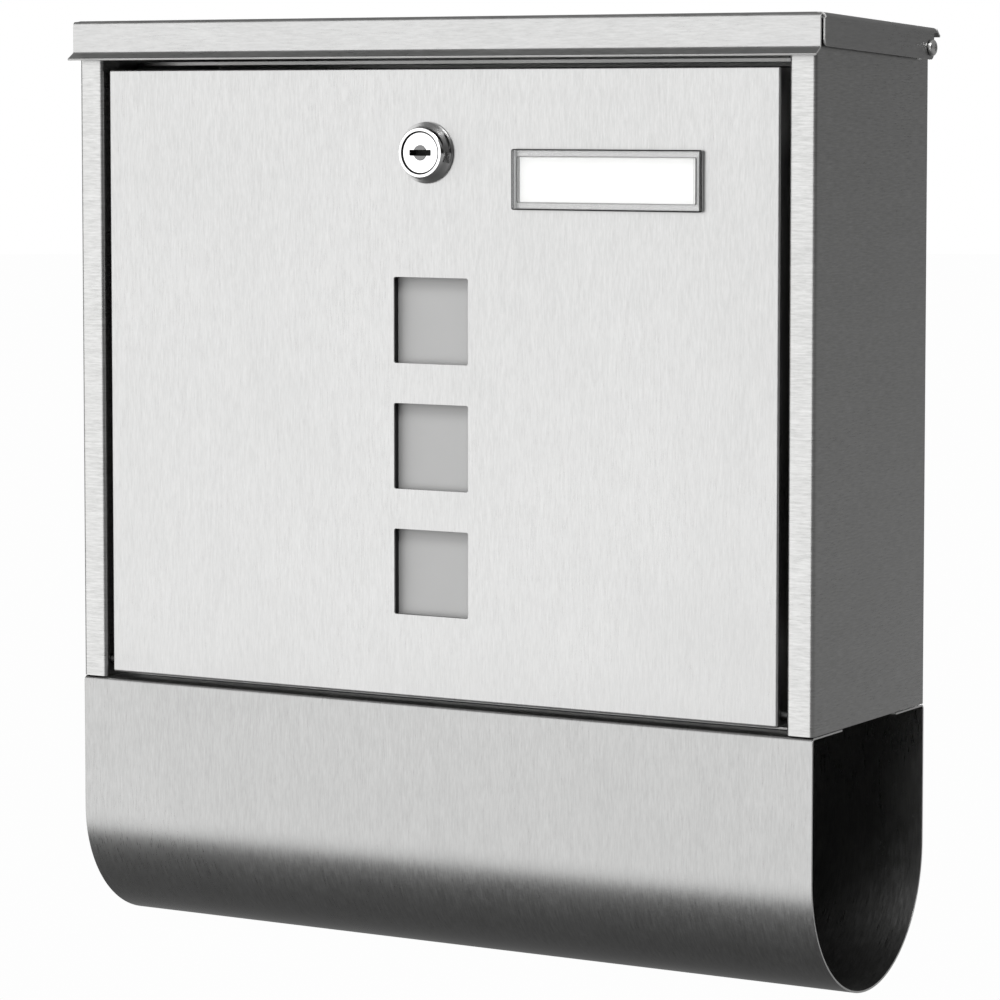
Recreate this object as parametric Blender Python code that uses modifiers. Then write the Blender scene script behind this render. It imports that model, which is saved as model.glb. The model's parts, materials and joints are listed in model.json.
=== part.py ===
"""Wall mounted steel mailbox with a drop-down locking door, a lift-up lid and a newspaper holder.

The wall is the plane Y = 0 and the mailbox hangs in front of it, towards -Y. +Z is up and X = 0 is
the middle. The origin lies in the wall plane, at the middle of the four wall pads. Metres.
"""
import math

import bmesh
import bpy
from mathutils import Matrix, Vector

# Driving dimensions
SHEET = 0.0008
GAP = 0.0003
BODY_WIDTH = 0.330
BODY_DEPTH = 0.100
PAD_THICKNESS = 0.008
BOTTOM_Z = -0.130
BEND_RADIUS = 0.002
BEND_STEPS = 4

BACK_Y = -PAD_THICKNESS
FRONT_Y = BACK_Y - BODY_DEPTH
HALF_WIDTH = BODY_WIDTH / 2

# Lid: slopes down to the wall and hangs over the body on every side
LID_TOP_FRONT = BOTTOM_Z + 0.2663
LID_SLOPE = math.radians(2.4)
LID_SIDE_OVERHANG = 0.0029
LID_FRONT_OVERHANG = 0.0013
LID_BACK_OVERHANG = 0.0019
LID_FLAP = 0.0124
LID_LIP_OUT = 0.0040
LID_LIP_DOWN = 0.0030
LID_LIP_EASE = (0.0006, 0.0009)
LID_BACK_LIP_OUT = 0.0032
LID_BACK_LIP_DOWN = 0.0027
LID_BACK_EASE = (0.0006, 0.0003)
LID_CORNER_RELIEF = 0.0010
LID_CORNER_SLIT = 0.0009
LID_FLAP_SETBACK = 0.0020
LID_FLAP_END = 0.0022
LID_CORNER_RADIUS = 0.0028
LID_BEND_RADIUS = 0.0022
PIVOT_FROM_BACK = 0.0054
PIVOT_BELOW_LID = 0.0080
PIVOT_RADIUS = 0.0015
PIVOT_HEAD_RADIUS = 0.0031
PIVOT_HEAD_HEIGHT = 0.00195
PIVOT_DRIVE_RADIUS = 0.0012
PIVOT_REACH = 0.0055
PIVOT_WASHER_RADIUS = 0.0034
PIVOT_NUT_RADIUS = 0.0029
PIVOT_NUT_LENGTH = 0.0022

# Housing
FLANGE_WIDTH = 0.0113
RETURN_DEPTH = 0.0120
HOUSING_TOP_FRONT = LID_TOP_FRONT - 0.0019
HOUSING_TOP_BACK = BOTTOM_Z + 0.2574

# Bottom panel
BOTTOM_UPTURN = 0.0120
BOTTOM_FRONT_GAP = 0.0010

# Door
DOOR_HALF_WIDTH = 0.1503
DOOR_BOTTOM = BOTTOM_Z + 0.0024
DOOR_TOP = BOTTOM_Z + 0.2466
DOOR_RETURN = 0.0105
DOOR_EDGE_RADIUS = 0.0010
HINGE_HEIGHT = 0.0046
HINGE_INSET = 0.0043
HINGE_RADIUS = 0.0016
HINGE_HEAD_RADIUS = 0.0030
HINGE_HEAD_HEIGHT = 0.0012
HINGE_PIN_LENGTH = 0.0112
HINGE_PIN_TIP = 0.0004
WINDOW_SIDE = 0.0334
WINDOW_PITCH = 0.0490
WINDOW_X = 0.0009
WINDOW_MIDDLE = BOTTOM_Z + 0.1003
WINDOW_CORNER = 0.0008

# Window pane and its black seal
SEAL_THICKNESS = 0.0027
PANE_THICKNESS = 0.0025
PANE_HALF_WIDTH = 0.0260
PANE_HALF_HEIGHT = 0.0735
PANE_CORNER = 0.0020
STUD_RADIUS = 0.0014
STUD_X = 0.0215
STUD_Z = 0.0690
STUD_TAIL = 0.0045
STUD_NUT_RADIUS = 0.0030
STUD_NUT_LENGTH = 0.0022

# Lock
LOCK_X = -0.0006
LOCK_Z = BOTTOM_Z + 0.2141
LOCK_PROUD = 0.0056
BEZEL_RADIUS = 0.0119
BEZEL_FRONT_RADIUS = 0.0096
BEZEL_RIM = 0.0012
LOCK_CHAMFER = 0.0004
PLUG_RADIUS = 0.0079
PLUG_STEP = 0.0014
PLUG_CLEARANCE = 0.0001
PLUG_TAIL_RADIUS = 0.0042
PLUG_TAIL_LENGTH = 0.0040
KEYWAY_WIDTH = 0.0094
KEYWAY_HEIGHT = 0.0023
KEYWAY_DEPTH = 0.0050
BARREL_RADIUS = 0.0090
BARREL_LENGTH = 0.0170
CAM_LENGTH = 0.0310
CAM_HEEL = 0.0085
CAM_OFFSET = 0.0030
CAM_WIDTH = 0.0150
CAM_CORNER = 0.0050
CAM_THICKNESS = 0.0020
CAM_CLEARANCE = 0.0008
CAM_SCREW_RADIUS = 0.0055
CAM_SCREW_HEIGHT = 0.0022
LOCK_WASHER_RADIUS = 0.0125
LOCK_WASHER_LENGTH = 0.0008
LOCK_NUT_RADIUS = 0.0122
LOCK_NUT_LENGTH = 0.0040

# Nameplate
PLATE_X = 0.0784
PLATE_Z = BOTTOM_Z + 0.2042
PLATE_WIDTH = 0.0811
PLATE_HEIGHT = 0.0232
PLATE_BORDER = 0.0028
PLATE_THICKNESS = 0.0024
PLATE_EDGE = 0.0006
CARD_THICKNESS = 0.0004

# Latch rail, which the lock cam catches behind
RAIL_FRONT = FRONT_Y + 0.0126
RAIL_TOP = BOTTOM_Z + 0.2462
RAIL_HEIGHT = 0.0100
RAIL_FLANGE = 0.0044
RAIL_BEND_RADIUS = 0.0014

# Letter guard: a doubled strip inside, between the lid and the door
GUARD_FRONT = FRONT_Y + 0.0260
GUARD_DEPTH = 0.0220
GUARD_TOP = BOTTOM_Z + 0.2498
GUARD_THICKNESS = 0.0013
GUARD_END = 0.0240
GUARD_TAB = 0.0100
GUARD_CORNER_OUT = 0.0100
GUARD_CORNER_ANGLE = math.radians(45)

# Newspaper holder
HOLDER_STRAIGHT = 0.0536
HOLDER_HALF_LENGTH = HALF_WIDTH - 0.0003
HOLDER_FLANGE = 0.0260
HOLDER_SCREW_INSET = 0.0195
HOLDER_SCREW_X = 0.1250
HOLDER_ARC_STEPS = 24
HOLDER_SCREW_RADIUS = 0.0018
HOLDER_SCREW_LENGTH = 0.0070
HOLDER_HEAD_RADIUS = 0.0034
HOLDER_HEAD_SHOULDER = 0.0012
HOLDER_HEAD_CROWN = 0.0020
HOLDER_HEAD_HEIGHT = 0.0022
HOLDER_NUT_RADIUS = 0.0036
HOLDER_NUT_LENGTH = 0.0028

# Wall pads and wall screw holes
PAD_RADIUS = 0.0090
PAD_X = 0.1300
PAD_Z = 0.1000
HOLE_RADIUS = 0.0030
HOLE_X = 0.1050

OBJECT_NAME = "wall_mailbox"


# Scene set-up

for old_object in list(bpy.data.objects):
    bpy.data.objects.remove(old_object, do_unlink=True)

parts = bpy.data.collections.new(OBJECT_NAME)
bpy.context.scene.collection.children.link(parts)
cutters = bpy.data.collections.new(OBJECT_NAME + "_cutters")
bpy.context.scene.collection.children.link(cutters)


def material(name, color, roughness, metallic):
    made = bpy.data.materials.new(name)
    made.use_nodes = True
    shader = made.node_tree.nodes["Principled BSDF"]
    shader.inputs["Base Color"].default_value = (*color, 1.0)
    shader.inputs["Roughness"].default_value = roughness
    shader.inputs["Metallic"].default_value = metallic
    return made


BRUSHED = ((0.62, 0.62, 0.61), 0.34, 1.0)
BRIGHT = ((0.72, 0.72, 0.71), 0.18, 1.0)
CHROME = ((0.80, 0.80, 0.80), 0.08, 1.0)
RUBBER = ((0.02, 0.02, 0.02), 0.70, 0.0)
FROSTED = ((0.55, 0.56, 0.56), 0.45, 0.0)
CLEAR = ((0.86, 0.88, 0.88), 0.12, 0.0)
WHITE_CARD = ((0.88, 0.88, 0.87), 0.60, 0.0)


def add_object(name, mesh, look, location=(0, 0, 0)):
    made = bpy.data.objects.new(name, mesh)
    made.location = location
    parts.objects.link(made)
    mesh.materials.clear()
    mesh.materials.append(material(name, *look))
    return made


def mesh_from(bm, name):
    mesh = bpy.data.meshes.new(name)
    bm.to_mesh(mesh)
    bm.free()
    return mesh


def smooth(target, degrees=35):
    target.data.shade_smooth()
    target.data.set_sharp_from_angle(angle=math.radians(degrees))


def solidify(target, thickness=SHEET):
    """The modelled surface is the outer face, and the sheet grows inwards from it."""
    modifier = target.modifiers.new("sheet", "SOLIDIFY")
    modifier.thickness = thickness
    modifier.offset = -1.0
    modifier.use_even_offset = True


def face_away(target, point):
    """Turns a sheet's outer face away from a point on its inner side."""
    facing = sum(
        face.area * face.normal.dot(face.center - Vector(point)) for face in target.data.polygons
    )
    if facing < 0:
        target.data.flip_normals()


def cut(target, *tools):
    for tool in tools:
        modifier = target.modifiers.new("cut_" + tool.name, "BOOLEAN")
        modifier.operation = "DIFFERENCE"
        modifier.solver = "EXACT"
        modifier.object = tool


def add_cutter(name, mesh, location=(0, 0, 0)):
    tool = bpy.data.objects.new(name, mesh)
    tool.location = location
    tool.display_type = "WIRE"
    tool.hide_render = True
    cutters.objects.link(tool)
    return tool


def box_mesh(name, size, bevel=0.0, axis=None):
    """A box about its own middle. With an axis, only the edges along that axis are rounded."""
    bm = bmesh.new()
    bmesh.ops.create_cube(bm, size=1.0, matrix=Matrix.Diagonal((*size, 1.0)))
    if bevel:
        edges = list(bm.edges)
        if axis is not None:
            edges = [
                edge for edge in bm.edges
                if abs((edge.verts[0].co - edge.verts[1].co)[axis]) > size[axis] / 2
            ]
        bmesh.ops.bevel(bm, geom=edges, offset=bevel, segments=3, profile=0.5, affect="EDGES")
    return mesh_from(bm, name)


ALONG = {
    "X": Matrix.Rotation(math.radians(90), 4, "Y"),
    "Y": Matrix.Rotation(math.radians(90), 4, "X"),
    "Z": Matrix.Identity(4),
}


def cylinder_mesh(name, radius, length, along, segments=24, bevel=0.0):
    bm = bmesh.new()
    bmesh.ops.create_cone(
        bm, cap_ends=True, segments=segments, radius1=radius, radius2=radius, depth=length
    )
    if bevel:
        rims = [edge for edge in bm.edges if abs(edge.verts[0].co.z - edge.verts[1].co.z) < 1e-6]
        bmesh.ops.bevel(bm, geom=rims, offset=bevel, segments=2, profile=0.5, affect="EDGES")
    bmesh.ops.transform(bm, matrix=ALONG[along], verts=bm.verts)
    return mesh_from(bm, name)


def turned(name, profile, look, location, rotation=(0, 0, 0), steps=24):
    """A solid turned about its own Z. The profile is (radius, height), top to bottom."""
    bm = bmesh.new()
    points = [bm.verts.new((radius, 0.0, height)) for radius, height in profile]
    for start, end in zip(points, points[1:]):
        bm.edges.new((start, end))
    made = add_object(name, mesh_from(bm, name), look, location)
    made.rotation_euler = rotation
    modifier = made.modifiers.new("turn", "SCREW")
    modifier.steps = steps
    modifier.render_steps = steps
    modifier.use_merge_vertices = True
    modifier.merge_threshold = 0.00001
    modifier.use_smooth_shade = True
    return made


def rounded(corners, radius, steps=BEND_STEPS):
    """The corner points of an outline, with each inner corner turned into an arc."""
    path = [Vector(corners[0])]
    for before, corner, after in zip(corners, corners[1:], corners[2:]):
        corner = Vector(corner)
        inward = (Vector(before) - corner).normalized()
        outward = (Vector(after) - corner).normalized()
        half = inward.angle(outward) / 2
        centre = corner + (inward + outward).normalized() * radius / math.sin(half)
        start = corner + inward * radius / math.tan(half) - centre
        end = corner + outward * radius / math.tan(half) - centre
        turn = start.angle(end)
        for step in range(steps + 1):
            share = step / steps
            arm = start * math.sin((1 - share) * turn) + end * math.sin(share * turn)
            path.append(centre + arm / math.sin(turn))
    path.append(Vector(corners[-1]))
    return path


def swept_mesh(name, path, offset):
    """An open surface: a path of points carried along an offset."""
    bm = bmesh.new()
    points = [bm.verts.new(point) for point in path]
    edges = [bm.edges.new(pair) for pair in zip(points, points[1:])]
    carry(bm, edges, offset)
    return mesh_from(bm, name)


def fold(bm, edges, start, end, angle, radius, steps=BEND_STEPS):
    """Carries edges round a bend, from the start direction towards the end direction."""
    chord = 2 * radius * math.sin(angle / steps / 2)
    for step in range(steps):
        turn = (step + 0.5) * angle / steps
        edges = carry(bm, edges, (start * math.cos(turn) + end * math.sin(turn)) * chord)
    return edges


def carry(bm, edges, offset):
    swept = bmesh.ops.extrude_edge_only(bm, edges=edges)["geom"]
    moved = [item for item in swept if isinstance(item, bmesh.types.BMVert)]
    bmesh.ops.translate(bm, vec=offset, verts=moved)
    return [item for item in swept if isinstance(item, bmesh.types.BMEdge)]


def notched_plate(bm, to_world, half_width, low, high, relief):
    """A flat plate whose sides are each split near the corners. Returns the four middle edges."""
    across = (-half_width, -half_width + relief, half_width - relief, half_width)
    along = (low, low + relief, high - relief, high)
    grid = [[bm.verts.new(to_world(u, v)) for v in along] for u in across]
    for i in range(3):
        for j in range(3):
            bm.faces.new((grid[i][j], grid[i + 1][j], grid[i + 1][j + 1], grid[i][j + 1]))
    find = bm.edges.get
    return {
        "low": find((grid[1][0], grid[2][0])),
        "high": find((grid[1][3], grid[2][3])),
        "left": find((grid[0][1], grid[0][2])),
        "right": find((grid[3][1], grid[3][2])),
    }


def joint_empty(name, location):
    made = bpy.data.objects.new(name, None)
    made.location = location
    parts.objects.link(made)
    return made


def ride(parent, *children):
    """Hangs pieces on a joint's empty. The pieces keep their places."""
    for child in children:
        child.parent = parent
        child.location = Vector(child.location) - parent.location


X_AXIS = Vector((1, 0, 0))
Y_AXIS = Vector((0, 1, 0))
Z_AXIS = Vector((0, 0, 1))


# Housing: back, two sides, front flanges and their returns, in one bent sheet

flange_x = HALF_WIDTH - FLANGE_WIDTH
half_outline = [
    (-flange_x, FRONT_Y + RETURN_DEPTH, BOTTOM_Z),
    (-flange_x, FRONT_Y, BOTTOM_Z),
    (-HALF_WIDTH, FRONT_Y, BOTTOM_Z),
    (-HALF_WIDTH, BACK_Y, BOTTOM_Z),
]
outline = half_outline + [(-x, y, z) for x, y, z in reversed(half_outline)]
housing = add_object(
    "housing_shell",
    swept_mesh("housing_shell", rounded(outline, BEND_RADIUS), Z_AXIS * 0.2),
    BRUSHED,
)
top_drop = (HOUSING_TOP_FRONT - HOUSING_TOP_BACK) / BODY_DEPTH
for vertex in housing.data.vertices:
    if vertex.co.z > BOTTOM_Z + SHEET:
        vertex.co.z = HOUSING_TOP_FRONT - top_drop * (vertex.co.y - FRONT_Y)
face_away(housing, (0, FRONT_Y + BODY_DEPTH / 2, 0))
solidify(housing)

lid_drop = math.tan(LID_SLOPE)
lid_front_y = FRONT_Y - LID_FRONT_OVERHANG
lid_back_y = BACK_Y + LID_BACK_OVERHANG
pivot_y = BACK_Y - PIVOT_FROM_BACK
pivot_z = LID_TOP_FRONT - lid_drop * (pivot_y - lid_front_y) - PIVOT_BELOW_LID
hinge_y = FRONT_Y + HINGE_INSET
hinge_z = DOOR_BOTTOM + HINGE_HEIGHT

cut(
    housing,
    add_cutter(
        "lid_pivot_bore",
        cylinder_mesh("lid_pivot_bore", PIVOT_RADIUS + GAP, BODY_WIDTH + 0.02, "X"),
        (0, pivot_y, pivot_z),
    ),
    add_cutter(
        "hinge_bore_left",
        cylinder_mesh("hinge_bore_left", HINGE_RADIUS + GAP, 0.008, "X"),
        (-flange_x, hinge_y, hinge_z),
    ),
    add_cutter(
        "hinge_bore_right",
        cylinder_mesh("hinge_bore_right", HINGE_RADIUS + GAP, 0.008, "X"),
        (flange_x, hinge_y, hinge_z),
    ),
)
for side_x in (-HOLE_X, HOLE_X):
    for side_z in (-PAD_Z, PAD_Z):
        place = (side_x, BACK_Y, side_z)
        name = "wall_screw_bore_{:+.0f}_{:+.0f}".format(side_x * 1000, side_z * 1000)
        cut(housing, add_cutter(name, cylinder_mesh(name, HOLE_RADIUS, 0.01, "Y"), place))
smooth(housing)


# Bottom panel, with its back and side edges turned up inside the housing

bottom_half = HALF_WIDTH - SHEET - 2 * GAP
bottom_path = rounded(
    [
        (-bottom_half, 0, BOTTOM_Z + BOTTOM_UPTURN),
        (-bottom_half, 0, BOTTOM_Z),
        (bottom_half, 0, BOTTOM_Z),
        (bottom_half, 0, BOTTOM_Z + BOTTOM_UPTURN),
    ],
    BEND_RADIUS,
)
bottom_front = FRONT_Y + RETURN_DEPTH + BOTTOM_FRONT_GAP
bottom_back = BACK_Y - SHEET - 2 * GAP
bottom = add_object(
    "bottom_panel",
    swept_mesh("bottom_panel", bottom_path, Y_AXIS * (bottom_back - bottom_front)),
    BRUSHED,
    (0, bottom_front, 0),
)
face_away(bottom, (0, BODY_DEPTH / 2, 0))
solidify(bottom)


# Latch rail: an angle strip between the side walls

rail_path = rounded(
    [
        (0, RAIL_FRONT + RAIL_FLANGE, RAIL_TOP - RAIL_HEIGHT),
        (0, RAIL_FRONT + RAIL_FLANGE, RAIL_TOP),
        (0, RAIL_FRONT, RAIL_TOP),
    ],
    RAIL_BEND_RADIUS,
)
rail_half = HALF_WIDTH - SHEET - GAP
rail_start = [point - X_AXIS * rail_half for point in rail_path]
rail = add_object(
    "latch_rail", swept_mesh("latch_rail", rail_start, X_AXIS * 2 * rail_half), BRUSHED
)
face_away(rail, (0, RAIL_FRONT, RAIL_TOP - RAIL_HEIGHT))
solidify(rail)


# Letter guard: a strip between the side walls, with slanted front corners and a tab at each end

guard_path = rounded(
    [
        (-rail_half, 0, GUARD_TOP - GUARD_TAB),
        (-rail_half, 0, GUARD_TOP),
        (rail_half, 0, GUARD_TOP),
        (rail_half, 0, GUARD_TOP - GUARD_TAB),
    ],
    BEND_RADIUS,
)
guard = add_object(
    "letter_guard",
    swept_mesh("letter_guard", guard_path, Y_AXIS * GUARD_DEPTH),
    BRUSHED,
    (0, GUARD_FRONT, 0),
)
face_away(guard, (0, GUARD_DEPTH / 2, GUARD_TOP - GUARD_TAB))
solidify(guard, GUARD_THICKNESS)
for name, side in (("guard_corner_left", -1), ("guard_corner_right", 1)):
    tool = add_cutter(
        name,
        box_mesh(name, (GUARD_END * 2, GUARD_END, GUARD_TAB * 4)),
        (
            side * (HALF_WIDTH - GUARD_END / 2 + GUARD_END / 2 * math.sin(GUARD_CORNER_ANGLE)),
            GUARD_FRONT + GUARD_END / 2 * (1 - math.cos(GUARD_CORNER_ANGLE)) - GUARD_CORNER_OUT,
            GUARD_TOP,
        ),
    )
    tool.rotation_euler.z = side * GUARD_CORNER_ANGLE
    cut(guard, tool)


# Lid: a folded sheet with side flaps, a front flap with a flared lip, and a flared lip at the back

lid_half = HALF_WIDTH + LID_SIDE_OVERHANG - LID_BEND_RADIUS
lid_depth = lid_back_y - lid_front_y
lid_low = LID_BEND_RADIUS


def lid_point(across, along):
    return Vector((across, lid_front_y + along, LID_TOP_FRONT - lid_drop * along))


bm = bmesh.new()
edges = notched_plate(bm, lid_point, lid_half, lid_low, lid_depth, LID_CORNER_RELIEF)
quarter = math.radians(90)
slope_back = (lid_point(0, 1) - lid_point(0, 0)).normalized()
plain_flap = LID_FLAP - LID_BEND_RADIUS
front_edges = fold(bm, [edges["low"]], -slope_back, -Z_AXIS, quarter - LID_SLOPE, LID_BEND_RADIUS)
front_edges = carry(bm, front_edges, -Z_AXIS * plain_flap)
ease_out, ease_down = LID_LIP_EASE
front_edges = carry(bm, front_edges, (0, -ease_out, -ease_down))
carry(bm, front_edges, (0, ease_out - LID_LIP_OUT, ease_down - LID_LIP_DOWN))
flap_outer = HALF_WIDTH + LID_SIDE_OVERHANG
for vertex in bm.verts:
    if vertex.co.y < lid_front_y + LID_BEND_RADIUS / 2 and abs(vertex.co.x) > lid_half / 2:
        vertex.co.x = math.copysign(flap_outer - LID_CORNER_SLIT, vertex.co.x)
for key, side in (("left", -1), ("right", 1)):
    side_edges = fold(bm, [edges[key]], side * X_AXIS, -Z_AXIS, quarter, LID_BEND_RADIUS)
    upper = [vert for edge in side_edges for vert in edge.verts]
    side_edges = carry(bm, side_edges, -Z_AXIS * plain_flap)
    lower = [vert for edge in side_edges for vert in edge.verts]
    for row in (upper, lower):
        min(row, key=lambda vert: vert.co.y).co.y = lid_front_y + LID_FLAP_SETBACK
        max(row, key=lambda vert: vert.co.y).co.y = BACK_Y - LID_FLAP_END
    bmesh.ops.bevel(
        bm, geom=lower, offset=LID_CORNER_RADIUS, segments=4, profile=0.5, affect="VERTICES"
    )
ease_out, ease_down = LID_BACK_EASE
back_edges = carry(bm, [edges["high"]], (0, ease_out, -ease_down))
lip_edges = carry(bm, back_edges, (0, LID_BACK_LIP_OUT, -LID_BACK_LIP_DOWN))
for edge in back_edges + lip_edges:
    for vertex in edge.verts:
        if vertex.co.y > lid_back_y and abs(vertex.co.x) > lid_half / 2:
            vertex.co.x = math.copysign(flap_outer - LID_CORNER_SLIT, vertex.co.x)
bmesh.ops.recalc_face_normals(bm, faces=bm.faces)
lid = add_object("lid", mesh_from(bm, "lid"), BRUSHED)
face_away(lid, (0, FRONT_Y + BODY_DEPTH / 2, 0))
solidify(lid)
cut(
    lid,
    add_cutter(
        "lid_flap_bore",
        cylinder_mesh("lid_flap_bore", PIVOT_RADIUS + GAP, BODY_WIDTH + 0.03, "X"),
        (0, pivot_y, pivot_z),
    ),
)
smooth(lid)
lid_pivot = joint_empty("lid_pivot", (0, pivot_y, pivot_z))
ride(lid_pivot, lid)


# Lid pivot screws, with a washer between lid and housing and a nut inside

washer_space = LID_SIDE_OVERHANG - SHEET
nut_middle = HALF_WIDTH - SHEET - GAP - PIVOT_NUT_LENGTH / 2
for name, side in (("left", -1), ("right", 1)):
    outward = (0, side * quarter, 0)
    reach = flap_outer - HALF_WIDTH + PIVOT_REACH
    screw = turned(
        "lid_pivot_screw_" + name,
        [
            (0, PIVOT_HEAD_HEIGHT),
            (PIVOT_HEAD_RADIUS * 0.58, PIVOT_HEAD_HEIGHT * 0.95),
            (PIVOT_HEAD_RADIUS * 0.90, PIVOT_HEAD_HEIGHT * 0.65),
            (PIVOT_HEAD_RADIUS, PIVOT_HEAD_HEIGHT * 0.20),
            (PIVOT_HEAD_RADIUS, 0),
            (PIVOT_RADIUS, 0),
            (PIVOT_RADIUS, -reach),
            (0, -reach),
        ],
        BRIGHT,
        (side * (flap_outer + GAP), pivot_y, pivot_z),
        outward,
    )
    slot_name = "pivot_drive_" + name
    cut(
        screw,
        add_cutter(
            slot_name,
            cylinder_mesh(slot_name, PIVOT_DRIVE_RADIUS, 2 * PIVOT_DRIVE_RADIUS, "X", 6),
            (side * (flap_outer + GAP + PIVOT_HEAD_HEIGHT), pivot_y, pivot_z),
        ),
    )
    for piece, radius, length, middle in (
        ("washer", PIVOT_WASHER_RADIUS, washer_space - 2 * GAP, HALF_WIDTH + washer_space / 2),
        ("nut", PIVOT_NUT_RADIUS, PIVOT_NUT_LENGTH, nut_middle),
    ):
        piece_name = "lid_pivot_{}_{}".format(piece, name)
        segments = 24 if piece == "washer" else 6
        ring = add_object(
            piece_name,
            cylinder_mesh(piece_name, radius, length, "X", segments),
            BRIGHT,
            (side * middle, pivot_y, pivot_z),
        )
        bore_name = "bore_" + piece_name
        bore = cylinder_mesh(bore_name, PIVOT_RADIUS + GAP, 0.010, "X")
        cut(ring, add_cutter(bore_name, bore, (side * middle, pivot_y, pivot_z)))


# Door: a folded panel with four returns, three windows and the holes for its fittings

bm = bmesh.new()
bmesh.ops.create_cube(
    bm,
    size=1.0,
    matrix=Matrix.Diagonal((2 * DOOR_HALF_WIDTH, DOOR_RETURN, DOOR_TOP - DOOR_BOTTOM, 1.0)),
)
open_side = max(bm.faces, key=lambda face: face.normal.y)
bmesh.ops.delete(bm, geom=[open_side], context="FACES_ONLY")
folded = [edge for edge in bm.edges if not edge.is_boundary]
bmesh.ops.bevel(
    bm, geom=folded, offset=DOOR_EDGE_RADIUS, segments=3, profile=0.5, affect="EDGES"
)
bmesh.ops.translate(
    bm, vec=(0, FRONT_Y + DOOR_RETURN / 2, (DOOR_TOP + DOOR_BOTTOM) / 2), verts=bm.verts
)
door = add_object("door_panel", mesh_from(bm, "door_panel"), BRUSHED)
face_away(door, (0, BACK_Y, 0))
solidify(door)

window_heights = [WINDOW_MIDDLE + step * WINDOW_PITCH for step in (1, 0, -1)]
for number, height in enumerate(window_heights, 1):
    name = "window_cut_{}".format(number)
    mesh = box_mesh(name, (WINDOW_SIDE, 0.006, WINDOW_SIDE), WINDOW_CORNER, axis=1)
    cut(door, add_cutter(name, mesh, (WINDOW_X, FRONT_Y, height)))
cut(
    door,
    add_cutter(
        "lock_hole",
        cylinder_mesh("lock_hole", BARREL_RADIUS + GAP, 0.006, "Y", 32),
        (LOCK_X, FRONT_Y, LOCK_Z),
    ),
    add_cutter(
        "hinge_hole",
        cylinder_mesh("hinge_hole", HINGE_RADIUS + GAP, 2 * DOOR_HALF_WIDTH + 0.004, "X"),
        (0, hinge_y, hinge_z),
    ),
)
smooth(door)


# Window seal, pane, and the studs and nuts that clamp them

inner_face = FRONT_Y + SHEET
seal_y = inner_face + GAP + SEAL_THICKNESS / 2
pane_y = inner_face + 2 * GAP + SEAL_THICKNESS + PANE_THICKNESS / 2
seal = add_object(
    "window_seal",
    box_mesh("window_seal", (2 * PANE_HALF_WIDTH, SEAL_THICKNESS, 2 * PANE_HALF_HEIGHT)),
    RUBBER,
    (WINDOW_X, seal_y, WINDOW_MIDDLE),
)
for number, height in enumerate(window_heights, 1):
    name = "seal_cut_{}".format(number)
    mesh = box_mesh(name, (WINDOW_SIDE + 2 * GAP, 0.008, WINDOW_SIDE + 2 * GAP))
    cut(seal, add_cutter(name, mesh, (WINDOW_X, seal_y, height)))
pane = add_object(
    "window_pane",
    box_mesh(
        "window_pane", (2 * PANE_HALF_WIDTH, PANE_THICKNESS, 2 * PANE_HALF_HEIGHT), PANE_CORNER, axis=1
    ),
    FROSTED,
    (WINDOW_X, pane_y, WINDOW_MIDDLE),
)
door_pieces = [door, seal, pane]
stud_start = inner_face + GAP
stud_length = SEAL_THICKNESS + PANE_THICKNESS + STUD_TAIL
nut_y = pane_y + (PANE_THICKNESS + STUD_NUT_LENGTH) / 2 + GAP
bore_length = 0.030
for corner, side_x, side_z in (
    ("upper_left", -1, 1), ("upper_right", 1, 1), ("lower_left", -1, -1), ("lower_right", 1, -1)
):
    place_x = WINDOW_X + side_x * STUD_X
    place_z = WINDOW_MIDDLE + side_z * STUD_Z
    name = "window_stud_" + corner
    stud = add_object(
        name,
        cylinder_mesh(name, STUD_RADIUS, stud_length, "Y", 16),
        BRIGHT,
        (place_x, stud_start + stud_length / 2, place_z),
    )
    bore_name = "stud_bore_" + corner
    bore_mesh = cylinder_mesh(bore_name, STUD_RADIUS + GAP, bore_length, "Y", 16)
    bore = add_cutter(bore_name, bore_mesh, (place_x, inner_face + bore_length / 2, place_z))
    cut(seal, bore)
    cut(pane, bore)
    name = "window_nut_" + corner
    nut_mesh = cylinder_mesh(name, STUD_NUT_RADIUS, STUD_NUT_LENGTH, "Y", 6)
    nut = add_object(name, nut_mesh, BRIGHT, (place_x, nut_y, place_z))
    cut(nut, bore)
    door_pieces += [stud, nut]


# Lock: bezel and barrel in one turned piece, with the plug turning inside it

lock_front = FRONT_Y - LOCK_PROUD
face_forward = (quarter, 0, 0)
bezel_back = LOCK_PROUD - GAP
bore_radius = PLUG_RADIUS - LOCK_CHAMFER
lock_body = turned(
    "lock_body",
    [
        (bore_radius, -PLUG_STEP),
        (PLUG_RADIUS + GAP, -PLUG_STEP),
        (PLUG_RADIUS + GAP, 0),
        (BEZEL_FRONT_RADIUS - LOCK_CHAMFER, 0),
        (BEZEL_FRONT_RADIUS, -LOCK_CHAMFER),
        (BEZEL_RADIUS, BEZEL_RIM - bezel_back),
        (BEZEL_RADIUS, -bezel_back),
        (BARREL_RADIUS, -bezel_back),
        (BARREL_RADIUS, -bezel_back - BARREL_LENGTH),
        (bore_radius, -bezel_back - BARREL_LENGTH),
        (bore_radius, -PLUG_STEP),
    ],
    CHROME,
    (LOCK_X, lock_front, LOCK_Z),
    face_forward,
    steps=40,
)
barrel_end = lock_front + bezel_back + BARREL_LENGTH
plug_end = barrel_end + PLUG_TAIL_LENGTH - lock_front
tail_start = barrel_end + LOCK_CHAMFER - lock_front
face_radius = PLUG_RADIUS - PLUG_CLEARANCE
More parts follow.
